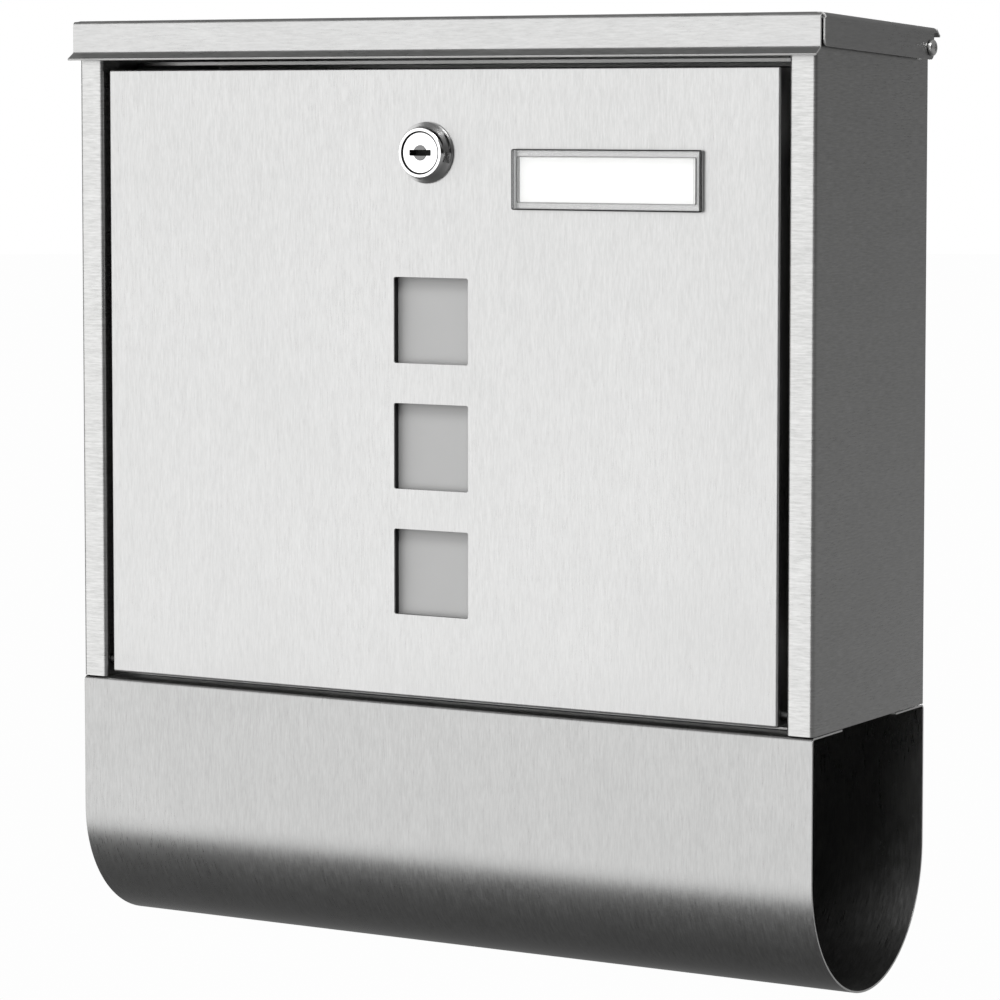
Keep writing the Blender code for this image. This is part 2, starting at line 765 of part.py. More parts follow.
lock_plug = turned(
    "lock_plug",
    [
        (0, -LOCK_CHAMFER),
        (face_radius - GAP, -LOCK_CHAMFER),
        (face_radius, -LOCK_CHAMFER - GAP),
        (face_radius, GAP - PLUG_STEP),
        (bore_radius - GAP, GAP - PLUG_STEP),
        (bore_radius - GAP, -tail_start),
        (PLUG_TAIL_RADIUS, -tail_start),
        (PLUG_TAIL_RADIUS, -plug_end),
        (0, -plug_end),
    ],
    CHROME,
    (LOCK_X, lock_front, LOCK_Z),
    face_forward,
    steps=32,
)
cut(
    lock_plug,
    add_cutter(
        "keyway_cut",
        box_mesh("keyway_cut", (KEYWAY_WIDTH, 2 * KEYWAY_DEPTH, KEYWAY_HEIGHT)),
        (LOCK_X, lock_front, LOCK_Z),
    ),
)
cam_y = barrel_end + CAM_CLEARANCE + CAM_THICKNESS / 2
cam = add_object(
    "lock_cam",
    box_mesh("lock_cam", (CAM_LENGTH + CAM_HEEL, CAM_THICKNESS, CAM_WIDTH), CAM_CORNER, axis=1),
    BRIGHT,
    (LOCK_X + CAM_LENGTH / 2 - CAM_OFFSET, cam_y, LOCK_Z),
)
cam_bore_mesh = cylinder_mesh("cam_bore", PLUG_TAIL_RADIUS + GAP, 0.010, "Y")
cut(cam, add_cutter("cam_bore", cam_bore_mesh, (LOCK_X, cam_y, LOCK_Z)))
cam_screw_y = lock_front + plug_end + GAP
cam_screw = turned(
    "lock_cam_screw",
    [
        (0, CAM_SCREW_HEIGHT),
        (CAM_SCREW_RADIUS * 0.55, CAM_SCREW_HEIGHT * 0.92),
        (CAM_SCREW_RADIUS * 0.95, CAM_SCREW_HEIGHT * 0.55),
        (CAM_SCREW_RADIUS, 0),
        (0, 0),
    ],
    BRIGHT,
    (LOCK_X, cam_screw_y, LOCK_Z),
    (-quarter, 0, 0),
)
washer_front = inner_face + GAP
nut_front = washer_front + LOCK_WASHER_LENGTH + GAP
lock_washer = add_object(
    "lock_washer",
    cylinder_mesh("lock_washer", LOCK_WASHER_RADIUS, LOCK_WASHER_LENGTH, "Y", 32),
    BRIGHT,
    (LOCK_X, washer_front + LOCK_WASHER_LENGTH / 2, LOCK_Z),
)
lock_nut = add_object(
    "lock_nut",
    cylinder_mesh("lock_nut", LOCK_NUT_RADIUS, LOCK_NUT_LENGTH, "Y", 6),
    BRIGHT,
    (LOCK_X, nut_front + LOCK_NUT_LENGTH / 2, LOCK_Z),
)
barrel_bore = add_cutter(
    "barrel_bore",
    cylinder_mesh("barrel_bore", BARREL_RADIUS + GAP, 0.016, "Y", 40),
    (LOCK_X, nut_front + LOCK_NUT_LENGTH / 2, LOCK_Z),
)
cut(lock_washer, barrel_bore)
cut(lock_nut, barrel_bore)


# Nameplate: a clear cover, hollow at the back, over a white card

cover_y = FRONT_Y - GAP - PLATE_THICKNESS / 2
cover = add_object(
    "nameplate_cover",
    box_mesh("nameplate_cover", (PLATE_WIDTH, PLATE_THICKNESS, PLATE_HEIGHT), PLATE_EDGE),
    CLEAR,
    (PLATE_X, cover_y, PLATE_Z),
)
pocket_depth = CARD_THICKNESS + 2 * GAP
inner_width = PLATE_WIDTH - 2 * PLATE_BORDER
inner_height = PLATE_HEIGHT - 2 * PLATE_BORDER
cut(
    cover,
    add_cutter(
        "card_pocket",
        box_mesh("card_pocket", (inner_width, 2 * pocket_depth, inner_height)),
        (PLATE_X, FRONT_Y - GAP, PLATE_Z),
    ),
)
card = add_object(
    "name_card",
    box_mesh("name_card", (inner_width - 2 * GAP, CARD_THICKNESS, inner_height - 2 * GAP)),
    WHITE_CARD,
    (PLATE_X, FRONT_Y - GAP - CARD_THICKNESS / 2, PLATE_Z),
)

door_pieces += [lock_body, lock_washer, lock_nut, cover, card]
door_hinge = joint_empty("door_hinge", (0, hinge_y, hinge_z))
ride(door_hinge, *door_pieces)
lock_axis = joint_empty("lock_axis", (LOCK_X, lock_front, LOCK_Z))
ride(lock_axis, lock_plug, cam, cam_screw)
ride(door_hinge, lock_axis)


# Door hinge pins, fixed in the housing's returns

for name, side in (("left", -1), ("right", 1)):
    pin_name = "door_hinge_pin_" + name
    turned(
        pin_name,
        [
            (0, HINGE_HEAD_HEIGHT),
            (HINGE_HEAD_RADIUS * 0.87, HINGE_HEAD_HEIGHT * 0.83),
            (HINGE_HEAD_RADIUS, HINGE_HEAD_HEIGHT * 0.33),
            (HINGE_HEAD_RADIUS, 0),
            (HINGE_RADIUS, 0),
            (HINGE_RADIUS, HINGE_PIN_TIP - HINGE_PIN_LENGTH),
            (HINGE_RADIUS - HINGE_PIN_TIP, -HINGE_PIN_LENGTH),
            (0, -HINGE_PIN_LENGTH),
        ],
        BRIGHT,
        (side * (flange_x + SHEET + GAP), hinge_y, hinge_z),
        (0, side * quarter, 0),
    )


# Newspaper holder: one sheet bent into a deep U, open at both ends

holder_radius = BODY_DEPTH / 2
holder_top = BOTTOM_Z - GAP
arc_z = holder_top - HOLDER_STRAIGHT
middle_y = FRONT_Y + holder_radius
front_top = rounded(
    [
        (0, FRONT_Y + HOLDER_FLANGE, holder_top),
        (0, FRONT_Y, holder_top),
        (0, FRONT_Y, arc_z),
    ],
    BEND_RADIUS,
)
arc = []
for step in range(1, HOLDER_ARC_STEPS):
    turn = math.pi * step / HOLDER_ARC_STEPS
    arm = Vector((0, math.cos(turn), math.sin(turn)))
    arc.append(Vector((0, middle_y, arc_z)) - arm * holder_radius)
back_top = [Vector((0, 2 * middle_y - point.y, point.z)) for point in reversed(front_top)]
holder_path = [point - X_AXIS * HOLDER_HALF_LENGTH for point in front_top + arc + back_top]
holder = add_object(
    "newspaper_holder",
    swept_mesh("newspaper_holder", holder_path, X_AXIS * 2 * HOLDER_HALF_LENGTH),
    BRUSHED,
)
face_away(holder, (0, middle_y, arc_z))
solidify(holder)

seat = -SHEET - GAP
nut_z = BOTTOM_Z + SHEET + GAP + HOLDER_NUT_LENGTH / 2
screw_rows = (("front", FRONT_Y + HOLDER_SCREW_INSET), ("back", BACK_Y - HOLDER_SCREW_INSET))
for row, place_y in screw_rows:
    for name, side in (("left", -1), ("right", 1)):
        place = (side * HOLDER_SCREW_X, place_y, holder_top)
        screw_name = "holder_screw_{}_{}".format(row, name)
        turned(
            screw_name,
            [
                (0, HOLDER_SCREW_LENGTH),
                (HOLDER_SCREW_RADIUS, HOLDER_SCREW_LENGTH),
                (HOLDER_SCREW_RADIUS, seat),
                (HOLDER_HEAD_RADIUS, seat),
                (HOLDER_HEAD_RADIUS * 0.94, seat - HOLDER_HEAD_SHOULDER),
                (HOLDER_SCREW_RADIUS, seat - HOLDER_HEAD_CROWN),
                (0, seat - HOLDER_HEAD_HEIGHT),
            ],
            BRIGHT,
            place,
        )
        bore_name = "bore_" + screw_name
        bore_mesh = cylinder_mesh(bore_name, HOLDER_SCREW_RADIUS + GAP, bore_length, "Z", 20)
        bore = add_cutter(bore_name, bore_mesh, place)
        cut(holder, bore)
        cut(bottom, bore)
        nut_name = "holder_nut_{}_{}".format(row, name)
        nut = add_object(
            nut_name,
            cylinder_mesh(nut_name, HOLDER_NUT_RADIUS, HOLDER_NUT_LENGTH, "Z", 6),
            BRIGHT,
            (place[0], place[1], nut_z),
        )
        cut(nut, bore)
smooth(holder)


# Rubber pads that stand the housing off the wall

for corner, side_x, side_z in (
    ("upper_left", -1, 1), ("upper_right", 1, 1), ("lower_left", -1, -1), ("lower_right", 1, -1)
):
    name = "wall_pad_" + corner
    pad = add_object(
        name,
        cylinder_mesh(name, PAD_RADIUS, PAD_THICKNESS - GAP, "Y", 32, bevel=0.0008),
        RUBBER,
        (side_x * PAD_X, -(PAD_THICKNESS - GAP) / 2, side_z * PAD_Z),
    )
    smooth(pad)
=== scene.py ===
"""Looks of the wall mounted mailbox: sheet metal, lock, windows and nameplate on the CAD frame.

The wall is the plane Y = 0, the door faces -Y and +Z is up. Metres.
"""
import json
import math

import bmesh
import bpy
from mathutils import Matrix, Vector


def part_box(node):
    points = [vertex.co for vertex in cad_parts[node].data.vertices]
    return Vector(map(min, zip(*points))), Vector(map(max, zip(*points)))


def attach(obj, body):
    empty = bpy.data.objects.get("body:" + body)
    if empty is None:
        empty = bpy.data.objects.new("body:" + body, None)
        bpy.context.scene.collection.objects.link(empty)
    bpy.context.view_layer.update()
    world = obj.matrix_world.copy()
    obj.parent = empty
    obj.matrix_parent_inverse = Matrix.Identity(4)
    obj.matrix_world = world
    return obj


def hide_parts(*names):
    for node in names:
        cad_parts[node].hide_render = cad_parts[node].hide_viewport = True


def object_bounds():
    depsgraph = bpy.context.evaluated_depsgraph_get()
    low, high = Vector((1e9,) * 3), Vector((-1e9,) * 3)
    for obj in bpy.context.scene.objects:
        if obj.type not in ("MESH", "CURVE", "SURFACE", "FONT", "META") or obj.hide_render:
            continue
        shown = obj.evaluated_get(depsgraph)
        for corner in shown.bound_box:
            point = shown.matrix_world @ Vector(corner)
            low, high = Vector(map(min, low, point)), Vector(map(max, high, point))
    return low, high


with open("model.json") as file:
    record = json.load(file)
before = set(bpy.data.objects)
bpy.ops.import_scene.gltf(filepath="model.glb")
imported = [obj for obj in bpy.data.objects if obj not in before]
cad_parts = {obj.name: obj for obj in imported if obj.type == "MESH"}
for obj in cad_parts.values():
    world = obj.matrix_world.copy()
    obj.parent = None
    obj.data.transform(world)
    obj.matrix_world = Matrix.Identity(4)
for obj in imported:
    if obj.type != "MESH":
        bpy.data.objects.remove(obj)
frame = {"nodes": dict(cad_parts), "record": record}
cad_low, cad_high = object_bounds()

X_AXIS = Vector((1, 0, 0))
Z_AXIS = Vector((0, 0, 1))

# Camera: where it stands, which way it looks, and its lens
CAMERA_PLACE = (0.7966, -1.4269, 0.1014)
CAMERA_YAW = math.radians(30.107)
CAMERA_PITCH = math.radians(4.184)
CAMERA_LENS = 143.9
CAMERA_SHIFT = -0.100
FLOOR_Z = cad_low.z - 1.90


# Materials

def shader_of(name):
    made = bpy.data.materials.new(name)
    made.use_nodes = True
    return made, made.node_tree, made.node_tree.nodes["Principled BSDF"]


def add_node(tree, kind, **settings):
    node = tree.nodes.new(kind)
    for key, value in settings.items():
        setattr(node, key, value)
    return node


def noise(tree, vector, scale, detail=4.0, roughness=0.6):
    node = add_node(tree, "ShaderNodeTexNoise")
    node.inputs["Scale"].default_value = scale
    node.inputs["Detail"].default_value = detail
    node.inputs["Roughness"].default_value = roughness
    tree.links.new(vector, node.inputs["Vector"])
    return node.outputs["Fac"]


def spread(tree, value, low, high, source_low=0.3, source_high=0.7):
    node = add_node(tree, "ShaderNodeMapRange")
    tree.links.new(value, node.inputs["Value"])
    node.inputs["From Min"].default_value = source_low
    node.inputs["From Max"].default_value = source_high
    node.inputs["To Min"].default_value = low
    node.inputs["To Max"].default_value = high
    return node.outputs["Result"]


def stretched(tree, scale):
    place = add_node(tree, "ShaderNodeTexCoord")
    mapping = add_node(tree, "ShaderNodeMapping")
    mapping.inputs["Scale"].default_value = scale
    tree.links.new(place.outputs["Object"], mapping.inputs["Vector"])
    return mapping.outputs["Vector"]


def tinted(tree, value, dark, light):
    ramp = add_node(tree, "ShaderNodeValToRGB")
    ramp.color_ramp.elements[0].position = 0.30
    ramp.color_ramp.elements[1].position = 0.70
    ramp.color_ramp.elements[0].color = (*dark, 1.0)
    ramp.color_ramp.elements[1].color = (*light, 1.0)
    tree.links.new(value, ramp.inputs["Fac"])
    return ramp.outputs["Color"]


def bump(tree, shader, value, strength, distance):
    node = add_node(tree, "ShaderNodeBump")
    node.inputs["Strength"].default_value = strength
    node.inputs["Distance"].default_value = distance
    tree.links.new(value, node.inputs["Height"])
    tree.links.new(node.outputs["Normal"], shader.inputs["Normal"])


def brushed(name, along, level=0.41, contrast=0.050, roughness=0.31):
    """Stainless steel with a straight grain. Along says how finely the grain runs on each axis."""
    made, tree, shader = shader_of(name)
    shader.inputs["Metallic"].default_value = 1.0
    fine = noise(tree, stretched(tree, along), 1.0, detail=3.0, roughness=0.75)
    broad = noise(tree, stretched(tree, tuple(value * 0.12 for value in along)), 1.0, detail=2.0)
    smudge = noise(tree, stretched(tree, (9, 9, 9)), 1.0, detail=3.0)
    mix = add_node(tree, "ShaderNodeMath", operation="MULTIPLY_ADD")
    tree.links.new(broad, mix.inputs[0])
    mix.inputs[1].default_value = 0.12
    scaled = add_node(tree, "ShaderNodeMath", operation="MULTIPLY")
    tree.links.new(fine, scaled.inputs[0])
    scaled.inputs[1].default_value = 0.88
    tree.links.new(scaled.outputs[0], mix.inputs[2])
    grain = mix.outputs[0]
    dark = (level - contrast, level - contrast, level - contrast * 1.05)
    light = (level + contrast, level + contrast, level + contrast * 0.95)
    tree.links.new(tinted(tree, grain, dark, light), shader.inputs["Base Color"])
    rough = add_node(tree, "ShaderNodeMath", operation="ADD")
    tree.links.new(spread(tree, grain, -0.05, 0.06), rough.inputs[0])
    tree.links.new(spread(tree, smudge, roughness - 0.03, roughness + 0.04), rough.inputs[1])
    tree.links.new(rough.outputs[0], shader.inputs["Roughness"])
    bump(tree, shader, grain, 0.08, 0.00004)
    return made


def polished(name, color, roughness, scale=140.0):
    """Plated metal: nearly smooth, with faint rubbed patches and fine pits."""
    made, tree, shader = shader_of(name)
    shader.inputs["Metallic"].default_value = 1.0
    patches = noise(tree, stretched(tree, (scale, scale, scale)), 1.0)
    pits = noise(tree, stretched(tree, (scale * 9, scale * 9, scale * 9)), 1.0)
    dark = tuple(value * 0.90 for value in color)
    tree.links.new(tinted(tree, patches, dark, color), shader.inputs["Base Color"])
    rough = spread(tree, patches, roughness * 0.8, roughness * 1.5)
    tree.links.new(rough, shader.inputs["Roughness"])
    bump(tree, shader, pits, 0.08, 0.00002)
    return made


def moulded(name, color, roughness, grain=900.0, strength=0.25, contrast=0.12):
    """Plastic, rubber or card: a fine even texture with slight mottling."""
    made, tree, shader = shader_of(name)
    texture = noise(tree, stretched(tree, (grain, grain, grain)), 1.0)
    mottle = noise(tree, stretched(tree, (60, 60, 60)), 1.0)
    dark = tuple(value * (1 - contrast) for value in color)
    tree.links.new(tinted(tree, mottle, dark, color), shader.inputs["Base Color"])
    rough = spread(tree, texture, roughness - 0.06, roughness + 0.06)
    tree.links.new(rough, shader.inputs["Roughness"])
    bump(tree, shader, texture, strength, 0.00005)
    return made


def clear_plastic(name, color, alpha):
    """Clear moulded plastic, with light scuffs. The thick rim's flat faces hold more colour than
    the window; the near-black edge look made with it is painted shade, standing in for how clear
    edges refract.
    """
    made, tree, shader = shader_of(name)
    shader.inputs["IOR"].default_value = 1.49
    shader.inputs["Alpha"].default_value = alpha
    scuffs = noise(tree, stretched(tree, (40, 900, 400)), 1.0, detail=6.0)
    tree.links.new(spread(tree, scuffs, 0.03, 0.12), shader.inputs["Roughness"])
    dark = tuple(value * 0.94 for value in color)
    tree.links.new(tinted(tree, scuffs, dark, color), shader.inputs["Base Color"])
    bump(tree, shader, scuffs, 0.05, 0.00002)
    return made


# How finely the steel's grain varies per metre, along it and across it
COARSE = 170
FINE = 1700
steel_vertical = brushed("steel_grain_vertical", (FINE, FINE, COARSE))
steel_level = brushed("steel_grain_level", (COARSE, COARSE, FINE), contrast=0.085)
steel_edge = moulded("steel_cut_edge", (0.74, 0.74, 0.73), 0.45, grain=1500.0, strength=0.15)
steel_edge.node_tree.nodes["Principled BSDF"].inputs["Metallic"].default_value = 0.55
chrome = polished("lock_chrome_plate", (0.82, 0.82, 0.82), 0.07)
plated = polished("bright_plated_steel", (0.70, 0.70, 0.69), 0.20)
black_zinc = polished("black_zinc_plate", (0.05, 0.05, 0.05), 0.35)
lock_shutter = polished("lock_shutter_dark", (0.16, 0.16, 0.16), 0.22)
# Near-black painted shadow for the lock's deep keyway and the gap round the plug
painted_gap_shadow = moulded("lock_gap_shadow", (0.012, 0.012, 0.012), 0.70)
pad_rubber = moulded("pad_rubber_black", (0.025, 0.025, 0.025), 0.62)
seal_rubber = moulded("seal_foam_black", (0.006, 0.006, 0.006), 0.85, grain=2500.0, strength=0.5)
pane_plastic = moulded(
    "pane_frosted", (0.39, 0.39, 0.388), 0.42, grain=3000.0, strength=0.12, contrast=0.03
)
card_white = moulded(
    "card_paper_white", (0.93, 0.93, 0.92), 0.70, grain=1800.0, strength=0.15, contrast=0.02
)
cover_clear = clear_plastic("nameplate_clear", (0.95, 0.96, 0.96), 0.10)
cover_band = clear_plastic("nameplate_band", (0.70, 0.71, 0.71), 0.20)
# Near-black edges and steps of the cover: painted shade standing in for the dark refraction at
# clear plastic edges
cover_edge_shade = clear_plastic("nameplate_edge_painted_shade", (0.035, 0.035, 0.035), 0.92)


def dress(node, look):
    """Gives a CAD node that stays its finished material."""
    target = frame["nodes"][node]
    target.data.materials.clear()
    target.data.materials.append(look)


for node in list(frame["nodes"]):
    if node.startswith("wall_pad"):
        dress(node, pad_rubber)
    elif node in ("lock_body", "lock_plug"):
        dress(node, chrome)
    elif node == "window_seal":
        dress(node, seal_rubber)
    elif node == "window_pane":
        dress(node, pane_plastic)
    elif node == "name_card":
        dress(node, card_white)
    elif node == "nameplate_cover":
        dress(node, cover_clear)
    elif node in ("door_panel", "newspaper_holder"):
        dress(node, steel_vertical)
    elif node == "lid":
        dress(node, steel_level)
    elif node in ("housing_shell", "bottom_panel", "latch_rail", "letter_guard"):
        dress(node, steel_level)
    else:
        dress(node, plated)


# Shapes: the same folded sheets as the frame's, with finer bends and softened edges

SHEET = 0.0008
HAIR = 0.00012
BEND = 0.002
BEND_STEPS = 10
QUARTER = math.radians(90)


def piece(name, mesh, body, look, slot, *nodes):
    """Puts a piece in the scene, riding on its body in place of its CAD nodes."""
    made = bpy.data.objects.new(name, mesh)
    bpy.context.scene.collection.objects.link(made)
    mesh.materials.clear()
    mesh.materials.append(look)
    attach(made, body)
    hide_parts(*nodes)
    return made


def mesh_from(bm, name):
    mesh = bpy.data.meshes.new(name)
    bm.to_mesh(mesh)
    bm.free()
    return mesh


def smooth(target, degrees=30):
    target.data.shade_smooth()
    target.data.set_sharp_from_angle(angle=math.radians(degrees))


def soften(target, width=HAIR, segments=2):
    modifier = target.modifiers.new("soft_edges", "BEVEL")
    modifier.width = width
    modifier.segments = segments
    modifier.limit_method = "ANGLE"
    modifier.angle_limit = math.radians(50)
    modifier.harden_normals = True
    modifier.use_clamp_overlap = True


def solidify(target, thickness=SHEET):
    """Grows the sheet inwards from its outer face. Its cut edges take the paler edge metal."""
    target.data.materials.append(steel_edge)
    modifier = target.modifiers.new("sheet", "SOLIDIFY")
    modifier.material_offset_rim = 1
    modifier.thickness = thickness
    modifier.offset = -1.0
    modifier.use_even_offset = True


def face_away(target, point):
    """Turns a sheet's outer face away from a point on its inner side."""
    facing = sum(
        face.area * face.normal.dot(face.center - Vector(point)) for face in target.data.polygons
    )
    if facing < 0:
        target.data.flip_normals()


def cut(target, mesh):
    """Takes a closed mesh out of a piece, and leaves the result as plain mesh."""
    tool = bpy.data.objects.new("cutter", mesh)
    bpy.context.scene.collection.objects.link(tool)
    modifier = target.modifiers.new("cut", "BOOLEAN")
    modifier.solver = "EXACT"
    modifier.object = tool
    apply_all(target)
    bpy.data.objects.remove(tool)


def apply_all(target):
    graph = bpy.context.evaluated_depsgraph_get()
    made = bpy.data.meshes.new_from_object(target.evaluated_get(graph))
    target.modifiers.clear()
    target.data = made


def box_mesh(size, place, bevel=0.0, axis=None, segments=4):
    bm = bmesh.new()
    bmesh.ops.create_cube(bm, size=1.0, matrix=Matrix.Diagonal((*size, 1.0)))
    if bevel:
        edges = list(bm.edges)
        if axis is not None:
            edges = [
                edge for edge in bm.edges
                if abs((edge.verts[0].co - edge.verts[1].co)[axis]) > size[axis] / 2
            ]
        bmesh.ops.bevel(
            bm, geom=edges, offset=bevel, segments=segments, profile=0.5, affect="EDGES"
        )
    bmesh.ops.translate(bm, vec=place, verts=bm.verts)
    return mesh_from(bm, "box")


ALONG = {
    "X": Matrix.Rotation(QUARTER, 4, "Y"),
    "Y": Matrix.Rotation(QUARTER, 4, "X"),
    "Z": Matrix.Identity(4),
}


def cylinder_mesh(radius, length, along, place, segments=48):
    bm = bmesh.new()
    bmesh.ops.create_cone(
        bm, cap_ends=True, segments=segments, radius1=radius, radius2=radius, depth=length
    )
    bmesh.ops.transform(bm, matrix=Matrix.Translation(place) @ ALONG[along], verts=bm.verts)
    return mesh_from(bm, "cylinder")


def turned_mesh(profile, place, facing, steps=64):
    """A profile of (radius, height) from top to bottom, turned about the facing direction."""
    bm = bmesh.new()
    rings = []
    for radius, height in profile:
        if radius < 1e-7:
            rings.append([bm.verts.new((0, 0, height))])
            continue
        ring = []
        for step in range(steps):
            turn = 2 * math.pi * step / steps
            ring.append(bm.verts.new((radius * math.cos(turn), radius * math.sin(turn), height)))
        rings.append(ring)
    for upper, lower in zip(rings, rings[1:]):
        for step in range(steps):
            after = (step + 1) % steps
            if len(upper) == 1:
                bm.faces.new((upper[0], lower[step], lower[after]))
            elif len(lower) == 1:
                bm.faces.new((upper[after], upper[step], lower[0]))
            else:
                bm.faces.new((upper[after], upper[step], lower[step], lower[after]))
    turn_to = Vector(facing).to_track_quat("Z", "Y").to_matrix().to_4x4()
    bmesh.ops.transform(bm, matrix=Matrix.Translation(place) @ turn_to, verts=bm.verts)
    return mesh_from(bm, "turned")


def rounded(corners, radius, steps=BEND_STEPS):
    """The corner points of an outline, with each inner corner turned into an arc."""
    path = [Vector(corners[0])]
    for before, corner, after in zip(corners, corners[1:], corners[2:]):
        corner = Vector(corner)
        inward = (Vector(before) - corner).normalized()
        outward = (Vector(after) - corner).normalized()
        half = inward.angle(outward) / 2
        centre = corner + (inward + outward).normalized() * radius / math.sin(half)
        start = corner + inward * radius / math.tan(half) - centre
        end = corner + outward * radius / math.tan(half) - centre
        turn = start.angle(end)
        for step in range(steps + 1):
            share = step / steps
            blend = start * math.sin((1 - share) * turn) + end * math.sin(share * turn)
            path.append(centre + blend / math.sin(turn))
    path.append(Vector(corners[-1]))
    return path


def moved(geometry):
    return [item for item in geometry if isinstance(item, bmesh.types.BMVert)]


def swept_mesh(path, offset):
    bm = bmesh.new()
    points = [bm.verts.new(point) for point in path]
    edges = [bm.edges.new(pair) for pair in zip(points, points[1:])]
    swept = bmesh.ops.extrude_edge_only(bm, edges=edges)["geom"]
    bmesh.ops.translate(bm, vec=offset, verts=moved(swept))
    return mesh_from(bm, "swept")


def carry(bm, edges, offset):
    swept = bmesh.ops.extrude_edge_only(bm, edges=edges)["geom"]
    bmesh.ops.translate(bm, vec=offset, verts=moved(swept))
    return [item for item in swept if isinstance(item, bmesh.types.BMEdge)]


def fold(bm, edges, start, end, angle, radius, steps=BEND_STEPS):
    chord = 2 * radius * math.sin(angle / steps / 2)
    for step in range(steps):
        turn = (step + 0.5) * angle / steps
        edges = carry(bm, edges, (start * math.cos(turn) + end * math.sin(turn)) * chord)
    return edges


# Sizes of the sheets, their bends and the holes in them

HOLDER_FLANGE = 0.026
HOLDER_ARC_STEPS = 96
HOLDER_BOLT_BORE = 0.0021
HOLDER_BOLT_INSET = 0.0195
HOLDER_BOLT_X = 0.125
FLANGE_WIDTH = 0.0113
RETURN_DEPTH = 0.012
HOUSING_BACK_TOP = 0.1274
PIVOT_BORE = 0.0018
HINGE_BORE = 0.0019
WALL_HOLE_RADIUS = 0.003
WALL_HOLE_X = 0.105
WALL_HOLE_Z = 0.1
LID_SIDE_OVERHANG = 0.0029
LID_FRONT_OVERHANG = 0.0013
LID_BACK_OVERHANG = 0.0019
LID_SLOPE = math.radians(2.4)
LID_BEND = 0.0022
LID_RELIEF = 0.0010
LID_SLIT = 0.0009
LID_FLAP = 0.0124
LID_FLAP_SETBACK = 0.0020
LID_FLAP_END = 0.0022
LID_FLAP_CORNER = 0.0028
DOOR_EDGE = 0.0010
WINDOW_SIDE = 0.0334
WINDOW_PITCH = 0.0490
WINDOW_CORNER = 0.0008
CUT_DEPTH = 0.006
PLUG_RADIUS = 0.0079
LOCK_HOLE = 0.0093
PLATE_BORDER = 0.0028
CLEARANCE = 0.0003


# Sizes read from the frame

body_low, body_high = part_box("housing_shell")
door_low, door_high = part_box("door_panel")
holder_low, holder_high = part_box("newspaper_holder")
lid_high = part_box("lid")[1]
joints = frame["record"]["behaviour"]["joints"]
pivots = {joint["name"]: Vector(joint["pos_m"]) for joint in joints}
front_y = body_low.y
back_y = body_high.y
depth = back_y - front_y


# Newspaper holder

def add_holder():
    radius = depth / 2
    middle_y = front_y + radius
    arc_z = holder_low.z + radius
    top = holder_high.z
    front = rounded(
        [(0, front_y + HOLDER_FLANGE, top), (0, front_y, top), (0, front_y, arc_z)], BEND
    )
    arc = []
    for step in range(1, HOLDER_ARC_STEPS):
        turn = math.pi * step / HOLDER_ARC_STEPS
        arc.append(
            Vector((0, middle_y - radius * math.cos(turn), arc_z - radius * math.sin(turn)))
        )
    back = [Vector((0, 2 * middle_y - point.y, point.z)) for point in reversed(front)]
    path = [point + X_AXIS * holder_low.x for point in front + arc + back]
    mesh = swept_mesh(path, X_AXIS * (holder_high.x - holder_low.x))
    made = piece(
        "holder_sheet", mesh, "housing", steel_holder, "brushed_sheet", "newspaper_holder"
    )
    face_away(made, (0, middle_y, arc_z))
    solidify(made)
    apply_all(made)
    for place_y in (front_y + HOLDER_BOLT_INSET, back_y - HOLDER_BOLT_INSET):
        for place_x in (-HOLDER_BOLT_X, HOLDER_BOLT_X):
            cut(made, cylinder_mesh(HOLDER_BOLT_BORE, 0.01, "Z", (place_x, place_y, top)))
    soften(made)
    smooth(made)


# Housing: back, sides, front flanges and returns

def add_housing():
    half = body_high.x
    flange_x = half - FLANGE_WIDTH
    half_outline = [
        (-flange_x, front_y + RETURN_DEPTH, body_low.z),
        (-flange_x, front_y, body_low.z),
        (-half, front_y, body_low.z),
        (-half, back_y, body_low.z),
    ]
    outline = half_outline + [(-x, y, z) for x, y, z in reversed(half_outline)]
    mesh = swept_mesh(rounded(outline, BEND), Z_AXIS * 0.2)
    drop = (body_high.z - HOUSING_BACK_TOP) / depth
    for vertex in mesh.vertices:
        if vertex.co.z > body_low.z + SHEET:
            vertex.co.z = body_high.z - drop * (vertex.co.y - front_y)
    made = piece("housing_sheet", mesh, "housing", steel_level, "brushed_sheet", "housing_shell")
    face_away(made, (0, (front_y + back_y) / 2, 0))
    solidify(made)
    apply_all(made)
    pivot = pivots["lid_lift"]
    hinge = pivots["door_swing"]
    cut(made, cylinder_mesh(PIVOT_BORE, 2 * half + 0.02, "X", (0, pivot.y, pivot.z)))
    for side in (-1, 1):
        cut(made, cylinder_mesh(HINGE_BORE, 0.008, "X", (side * flange_x, hinge.y, hinge.z)))
        for height in (-WALL_HOLE_Z, WALL_HOLE_Z):
            place = (side * WALL_HOLE_X, back_y, height)
            cut(made, cylinder_mesh(WALL_HOLE_RADIUS, 0.01, "Y", place))
    soften(made)
    smooth(made)


# Lid: sloping top, front flap with its flared lip, side flaps and the flared back lip

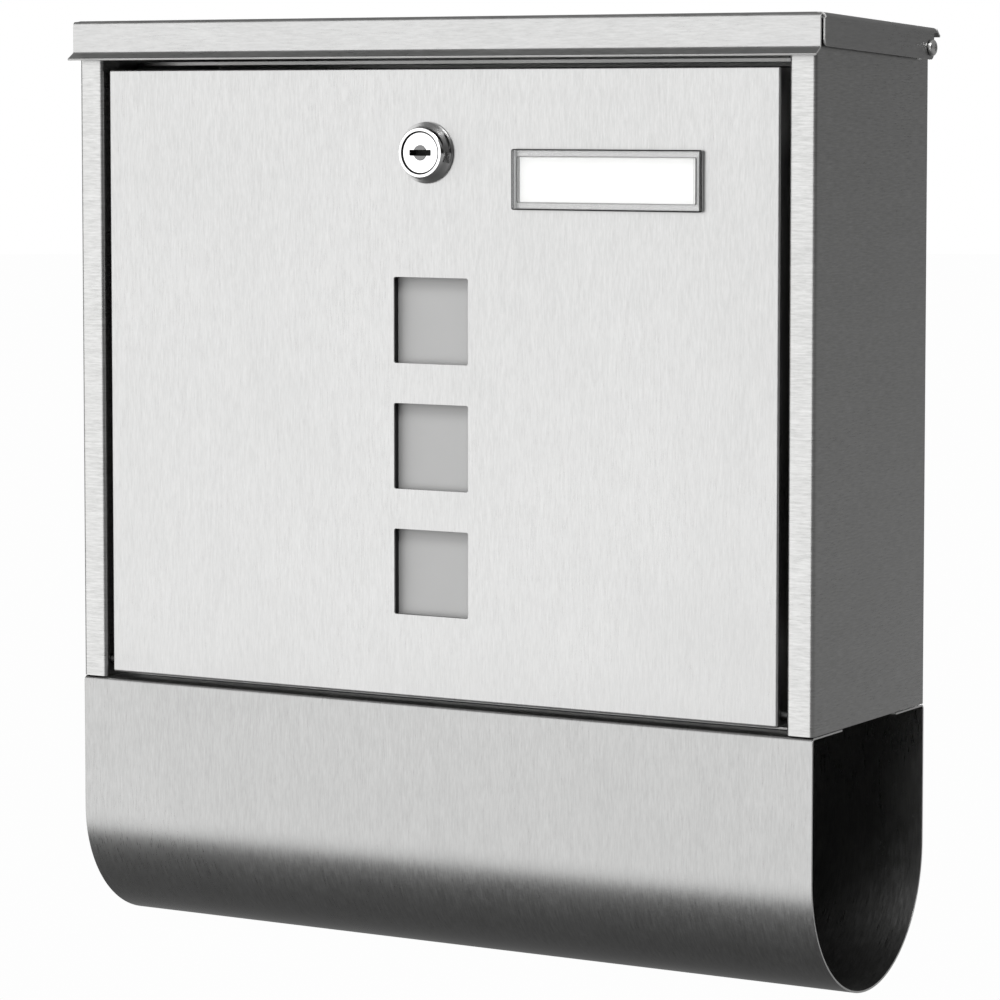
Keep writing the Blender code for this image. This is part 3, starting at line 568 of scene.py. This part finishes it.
def add_lid():
    outer = body_high.x + LID_SIDE_OVERHANG
    flat_half = outer - LID_BEND
    lid_front = front_y - LID_FRONT_OVERHANG
    lid_back = back_y + LID_BACK_OVERHANG
    drop = math.tan(LID_SLOPE)

    def lid_point(across, along):
        return Vector((across, lid_front + along, lid_high.z + drop * LID_BEND - drop * along))

    bm = bmesh.new()
    across = (-flat_half, -flat_half + LID_RELIEF, flat_half - LID_RELIEF, flat_half)
    length = lid_back - lid_front
    along = (LID_BEND, LID_BEND + LID_RELIEF, length - LID_RELIEF, length)
    grid = [[bm.verts.new(lid_point(u, v)) for v in along] for u in across]
    for i in range(3):
        for j in range(3):
            bm.faces.new((grid[i][j], grid[i + 1][j], grid[i + 1][j + 1], grid[i][j + 1]))
    find = bm.edges.get
    back_down = (lid_point(0, 1) - lid_point(0, 0)).normalized()
    plain = LID_FLAP - LID_BEND
    front = [find((grid[1][0], grid[2][0]))]
    edges = fold(bm, front, -back_down, -Z_AXIS, QUARTER - LID_SLOPE, LID_BEND)
    edges = carry(bm, edges, -Z_AXIS * plain)
    edges = carry(bm, edges, (0, -0.00018, -0.0005))
    edges = carry(bm, edges, (0, -0.00042, -0.0004))
    carry(bm, edges, (0, -0.0034, -0.0021))
    for vertex in bm.verts:
        if vertex.co.y < lid_front + LID_BEND / 2 and abs(vertex.co.x) > flat_half / 2:
            vertex.co.x = math.copysign(outer - LID_SLIT, vertex.co.x)
    for row, side in ((0, -1), (3, 1)):
        flank = [find((grid[row][1], grid[row][2]))]
        edges = fold(bm, flank, side * X_AXIS, -Z_AXIS, QUARTER, LID_BEND)
        upper = [vertex for edge in edges for vertex in edge.verts]
        edges = carry(bm, edges, -Z_AXIS * plain)
        lower = [vertex for edge in edges for vertex in edge.verts]
        for ends in (upper, lower):
            min(ends, key=lambda vertex: vertex.co.y).co.y = lid_front + LID_FLAP_SETBACK
            max(ends, key=lambda vertex: vertex.co.y).co.y = back_y - LID_FLAP_END
        bmesh.ops.bevel(
            bm, geom=lower, offset=LID_FLAP_CORNER, segments=8, profile=0.5, affect="VERTICES"
        )
    bend_edges = carry(bm, [find((grid[1][3], grid[2][3]))], (0, 0.0006, -0.0003))
    lip_edges = carry(bm, bend_edges, (0, 0.0032, -0.0027))
    for edge in bend_edges + lip_edges:
        for vertex in edge.verts:
            if vertex.co.y > lid_back and abs(vertex.co.x) > flat_half / 2:
                vertex.co.x = math.copysign(outer - LID_SLIT, vertex.co.x)
    bmesh.ops.recalc_face_normals(bm, faces=bm.faces)
    made = piece("lid_sheet", mesh_from(bm, "lid_sheet"), "lid", steel_lid, "brushed_sheet", "lid")
    face_away(made, (0, (front_y + back_y) / 2, 0))
    solidify(made)
    apply_all(made)
    pivot = pivots["lid_lift"]
    cut(made, cylinder_mesh(PIVOT_BORE, 2 * outer + 0.02, "X", (0, pivot.y, pivot.z)))
    soften(made)
    smooth(made)


# Door: a tray of folded sheet with its windows and fitting holes

def add_door():
    size = door_high - door_low
    middle = (door_high + door_low) / 2
    bm = bmesh.new()
    bmesh.ops.create_cube(bm, size=1.0, matrix=Matrix.Diagonal((*size, 1.0)))
    open_side = max(bm.faces, key=lambda face: face.normal.y)
    bmesh.ops.delete(bm, geom=[open_side], context="FACES_ONLY")
    folded = [edge for edge in bm.edges if not edge.is_boundary]
    bmesh.ops.bevel(bm, geom=folded, offset=DOOR_EDGE, segments=6, profile=0.5, affect="EDGES")
    bmesh.ops.translate(bm, vec=middle, verts=bm.verts)
    mesh = mesh_from(bm, "door_sheet")
    made = piece("door_sheet", mesh, "door", steel_vertical, "brushed_sheet", "door_panel")
    face_away(made, (0, back_y, 0))
    solidify(made)
    apply_all(made)
    hinge = pivots["door_swing"]
    cut(made, cylinder_mesh(HINGE_BORE, size.x + 0.004, "X", (0, hinge.y, hinge.z)))
    lock = pivots["lock_turn"]
    cut(made, cylinder_mesh(LOCK_HOLE, CUT_DEPTH, "Y", (lock.x, door_low.y, lock.z), 64))
    pane_low, pane_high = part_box("window_pane")
    pane_middle = (pane_low + pane_high) / 2
    for step in (1, 0, -1):
        place = (pane_middle.x, door_low.y, pane_middle.z + step * WINDOW_PITCH)
        cut(made, box_mesh((WINDOW_SIDE, CUT_DEPTH, WINDOW_SIDE), place, WINDOW_CORNER, axis=1))
    soften(made)
    smooth(made)


# Lock: bezel with a stepped rim, and a plug with a boss and a keyway

def add_lock():
    lock = pivots["lock_turn"]
    place = Vector((lock.x, lock.y, lock.z))
    proud = door_low.y - lock.y
    plug = PLUG_RADIUS
    flat = 0.0093
    rim = [
        (plug - 0.0004, -0.0014),
        (plug + 0.0003, -0.0014),
        (plug + 0.0003, -0.0002),
        (plug + 0.0005, 0.0),
        (flat, 0.0),
        (flat + 0.00025, -0.0001),
        (flat + 0.0004, -0.0003),
        (0.0106, -0.0021),
        (0.0115, -proud + 0.0016),
        (0.0118, -proud + 0.0012),
        (0.0119, -proud + 0.0009),
        (0.0119, -proud + 0.0004),
        (0.0118, -proud + 0.0003),
        (0.0090, -proud + 0.0003),
    ]
    thread = []
    height = -proud - 0.0010
    while height > -proud - 0.0163:
        thread += [(0.0090, height), (0.0086, height - 0.0004)]
        height -= 0.0008
    tail = [(0.0090, -proud - 0.0167), (plug - 0.0004, -proud - 0.0167), (plug - 0.0004, -0.0014)]
    mesh = turned_mesh(rim + thread + tail, place, (0, -1, 0), 96)
    made = piece("lock_bezel", mesh, "door", chrome, "lock_chrome", "lock_body")
    # The bezel's bore faces next to the plug are painted near black: painted shadow for the gap
    made.data.materials.append(painted_gap_shadow)
    for face in made.data.polygons:
        from_axis = math.hypot(face.center.x - lock.x, face.center.z - lock.z)
        if from_axis < plug + 0.00045:
            face.material_index = 1
    smooth(made, 35)

    reach = proud + 0.0167 + 0.0040
    square = proud + 0.0171
    face = [
        (0, -0.0001),
        (0.0026, -0.0001),
        (0.0029, -0.00018),
        (0.0030, -0.0004),
        (plug - 0.0005, -0.0004),
        (plug - 0.0002, -0.0005),
        (plug - 0.0001, -0.0007),
        (plug - 0.0001, -0.0011),
        (plug - 0.0007, -0.0011),
        (plug - 0.0007, -square),
        (0.0042, -square),
        (0.0042, -reach),
        (0, -reach),
    ]
    mesh = turned_mesh(face, place, (0, -1, 0), 96)
    made = piece("lock_plug_face", mesh, "lock_cylinder", chrome, "lock_chrome", "lock_plug")
    cut(made, box_mesh((0.0096, 0.0100, 0.0023), place, 0.0004, axis=1))
    made.data.materials.append(lock_shutter)
    # The keyway faces and the ring at the plug's edge are painted near black: painted shadow for
    # these recesses
    made.data.materials.append(painted_gap_shadow)
    for face in made.data.polygons:
        across = face.center - place
        from_axis = math.hypot(across.x, across.z)
        in_keyway = abs(across.x) < 0.0049 and abs(across.z) < 0.0012 and across.y > 0.00045
        if in_keyway or from_axis > plug - 0.0003:
            face.material_index = 2
        elif from_axis < 0.00305 and across.y < 0.00045:
            face.material_index = 1
    soften(made, 0.00008)
    smooth(made, 35)


# Nameplate: a moulded clear cover with a raised rim, and the card behind it

def add_nameplate():
    low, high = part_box("nameplate_cover")
    size = high - low
    middle = (low + high) / 2
    made = piece(
        "nameplate_lens",
        box_mesh(size, middle, 0.0009, segments=4),
        "door", cover_clear, "clear_plastic", "nameplate_cover",
    )
    field = (size.x - 2 * PLATE_BORDER, 0.0010, size.z - 2 * PLATE_BORDER)
    pocket = (size.x - 2 * PLATE_BORDER, 0.0020, size.z - 2 * PLATE_BORDER)
    cut(made, box_mesh(pocket, (middle.x, high.y, middle.z), 0.0005, axis=1))
    cut(made, box_mesh(field, (middle.x, low.y, middle.z), 0.0008, axis=1))
    # Field faces stay clear, the rim's flat faces take the greyer band, and the edges and steps
    # take the painted shade
    made.data.materials.append(cover_edge_shade)
    made.data.materials.append(cover_band)
    for face in made.data.polygons:
        inside = abs(face.center.x - middle.x) < field[0] / 2 - 0.0002
        inside = inside and abs(face.center.z - middle.z) < field[2] / 2 - 0.0002
        flat = abs(face.normal.y) > 0.9
        face.material_index = 0 if inside and flat else 2 if flat else 1
    soften(made, 0.00015)
    smooth(made)


# Fasteners: pan head screws with a drive recess and a chamfered tip

def add_screw(name, node, body, place, facing, head, shank, reach, look=plated):
    """A pan head screw: head radius and height, shank radius and length under the head."""
    radius, height = head
    profile = [(0, height)]
    steps = 8
    for step in range(1, steps + 1):
        turn = QUARTER * step / steps
        profile.append((radius * math.sin(turn), height * (0.35 + 0.65 * math.cos(turn))))
    tip_chamfer = 0.0003
    profile += [(radius, 0), (shank, 0), (shank, tip_chamfer - reach)]
    profile += [(shank - tip_chamfer, -reach), (0, -reach)]
    made = piece(name, turned_mesh(profile, place, facing, 48), body, look, "bright_steel", node)
    tip = Vector(place) + Vector(facing) * height
    sideways = 0.85 * radius
    for arm in ((sideways, 0.0006), (0.0006, sideways)):
        size = [arm[0], arm[1]]
        size.insert([abs(value) > 0.5 for value in facing].index(True), 0.0016)
        cut(made, box_mesh(size, tip))
    smooth(made, 35)


def add_fasteners():
    pivot = pivots["lid_lift"]
    hinge = pivots["door_swing"]
    outer = body_high.x + LID_SIDE_OVERHANG
    flange_x = body_high.x - FLANGE_WIDTH
    for name, side in (("left", -1), ("right", 1)):
        add_screw(
            "pivot_screw_" + name, "lid_pivot_screw_" + name, "housing",
            (side * (outer + CLEARANCE), pivot.y, pivot.z), (side, 0, 0),
            (0.0031, 0.00188), 0.0015, 0.0084,
        )
        add_screw(
            "hinge_pin_" + name, "door_hinge_pin_" + name, "housing",
            (side * (flange_x + SHEET + CLEARANCE), hinge.y, hinge.z), (side, 0, 0),
            (0.0030, 0.0012), 0.0016, 0.0112,
            black_zinc,
        )
        for row in ("front", "back"):
            screw = "holder_screw_{}_{}".format(row, name)
            low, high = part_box(screw)
            centre = (low + high) / 2
            under = holder_high.z - SHEET - CLEARANCE
            add_screw(
                "holder_bolt_{}_{}".format(row, name), screw, "housing",
                (centre.x, centre.y, under), (0, 0, -1), (0.0034, 0.0019), 0.0018, high.z - under,
            )


steel_holder = brushed("steel_grain_holder", (FINE, COARSE, COARSE), level=0.325)
steel_lid = brushed("steel_grain_lid", (COARSE, COARSE, FINE), level=0.39)
add_holder()
add_housing()
add_lid()
add_door()
add_lock()
add_nameplate()
add_fasteners()


# Floor, light and camera

def add_floor():
    bm = bmesh.new()
    bmesh.ops.create_circle(bm, cap_ends=True, segments=64, radius=60.0)
    mesh = bpy.data.meshes.new("floor")
    bm.to_mesh(mesh)
    bm.free()
    floor = bpy.data.objects.new("floor", mesh)
    floor.location = (0, 0, FLOOR_Z)
    bpy.context.scene.collection.objects.link(floor)
    made, tree, shader = shader_of("pale_floor")
    tree.nodes.remove(shader)
    place = add_node(tree, "ShaderNodeTexCoord")
    reach = add_node(tree, "ShaderNodeVectorMath", operation="LENGTH")
    tree.links.new(place.outputs["Object"], reach.inputs[0])
    dim = add_node(tree, "ShaderNodeEmission")
    glow = spread(tree, reach.outputs["Value"], 0.10, 0.32, 0.4, 5.0)
    tree.links.new(glow, dim.inputs["Strength"])
    pale = add_node(tree, "ShaderNodeEmission")
    pale.inputs["Color"].default_value = (0.985, 0.985, 0.985, 1.0)
    path = add_node(tree, "ShaderNodeLightPath")
    mix = add_node(tree, "ShaderNodeMixShader")
    output = tree.nodes["Material Output"]
    tree.links.new(path.outputs["Is Camera Ray"], mix.inputs["Fac"])
    tree.links.new(dim.outputs["Emission"], mix.inputs[1])
    tree.links.new(pale.outputs["Emission"], mix.inputs[2])
    tree.links.new(mix.outputs[0], output.inputs["Surface"])
    mesh.materials.append(made)


def add_softbox(name, size, place, target, power):
    lamp = bpy.data.lights.new(name, "AREA")
    lamp.shape = "RECTANGLE"
    lamp.size, lamp.size_y = size
    lamp.energy = power
    made = bpy.data.objects.new(name, lamp)
    made.location = place
    made.rotation_euler = (Vector(target) - Vector(place)).to_track_quat("-Z", "Y").to_euler()
    bpy.context.scene.collection.objects.link(made)


DARK_SIDE = (0.93, -0.36, 0.0)


def add_world():
    """A pale backdrop to the eye, with a dimmer studio round the object for its reflections.

    The studio is darkest on one side, in front and to the right.
    """
    world = bpy.data.worlds.new("studio")
    bpy.context.scene.world = world
    world.use_nodes = True
    tree = world.node_tree
    tree.nodes.clear()
    seen = add_node(tree, "ShaderNodeBackground")
    seen.inputs["Color"].default_value = (1.0, 1.0, 1.0, 1.0)
    seen.inputs["Strength"].default_value = 1.0
    light = add_node(tree, "ShaderNodeBackground")
    light.inputs["Color"].default_value = (1.0, 1.0, 1.0, 1.0)
    place = add_node(tree, "ShaderNodeTexCoord")
    split = add_node(tree, "ShaderNodeSeparateXYZ")
    tree.links.new(place.outputs["Generated"], split.inputs[0])
    toward = add_node(tree, "ShaderNodeVectorMath", operation="DOT_PRODUCT")
    toward.inputs[1].default_value = DARK_SIDE
    tree.links.new(place.outputs["Generated"], toward.inputs[0])
    shade = spread(tree, toward.outputs["Value"], 1.0, 0.06, 0.84, 0.93)
    level = add_node(tree, "ShaderNodeMath", operation="MULTIPLY")
    tree.links.new(spread(tree, split.outputs["Z"], 0.215, 0.33, 0.0, 1.0), level.inputs[0])
    tree.links.new(shade, level.inputs[1])
    tree.links.new(level.outputs[0], light.inputs["Strength"])
    path = add_node(tree, "ShaderNodeLightPath")
    mix = add_node(tree, "ShaderNodeMixShader")
    output = add_node(tree, "ShaderNodeOutputWorld")
    tree.links.new(path.outputs["Is Camera Ray"], mix.inputs["Fac"])
    tree.links.new(light.outputs[0], mix.inputs[1])
    tree.links.new(seen.outputs[0], mix.inputs[2])
    tree.links.new(mix.outputs[0], output.inputs["Surface"])


def add_camera():
    lens = bpy.data.cameras.new("camera")
    lens.lens = CAMERA_LENS
    lens.sensor_width = 36.0
    lens.shift_y = CAMERA_SHIFT
    lens.clip_end = 200.0
    camera = bpy.data.objects.new("camera", lens)
    camera.location = CAMERA_PLACE
    camera.rotation_euler = (math.radians(90) - CAMERA_PITCH, 0, CAMERA_YAW)
    bpy.context.scene.collection.objects.link(camera)
    bpy.context.scene.camera = camera


bpy.context.scene.view_settings.view_transform = "Standard"
add_floor()
add_world()
add_softbox("front_softbox", (6.0, 4.35), (-1.52, -2.66, 0.38), (0, -0.1, 0.25), 137)
add_softbox("upper_softbox", (1.3, 1.0), (0.9, -1.9, 2.3), (0, -0.1, 0.0), 42)
add_softbox("back_softbox", (1.6, 0.9), (-1.7, 2.7, 0.1), (0, 0, -0.1), 26)
add_camera()
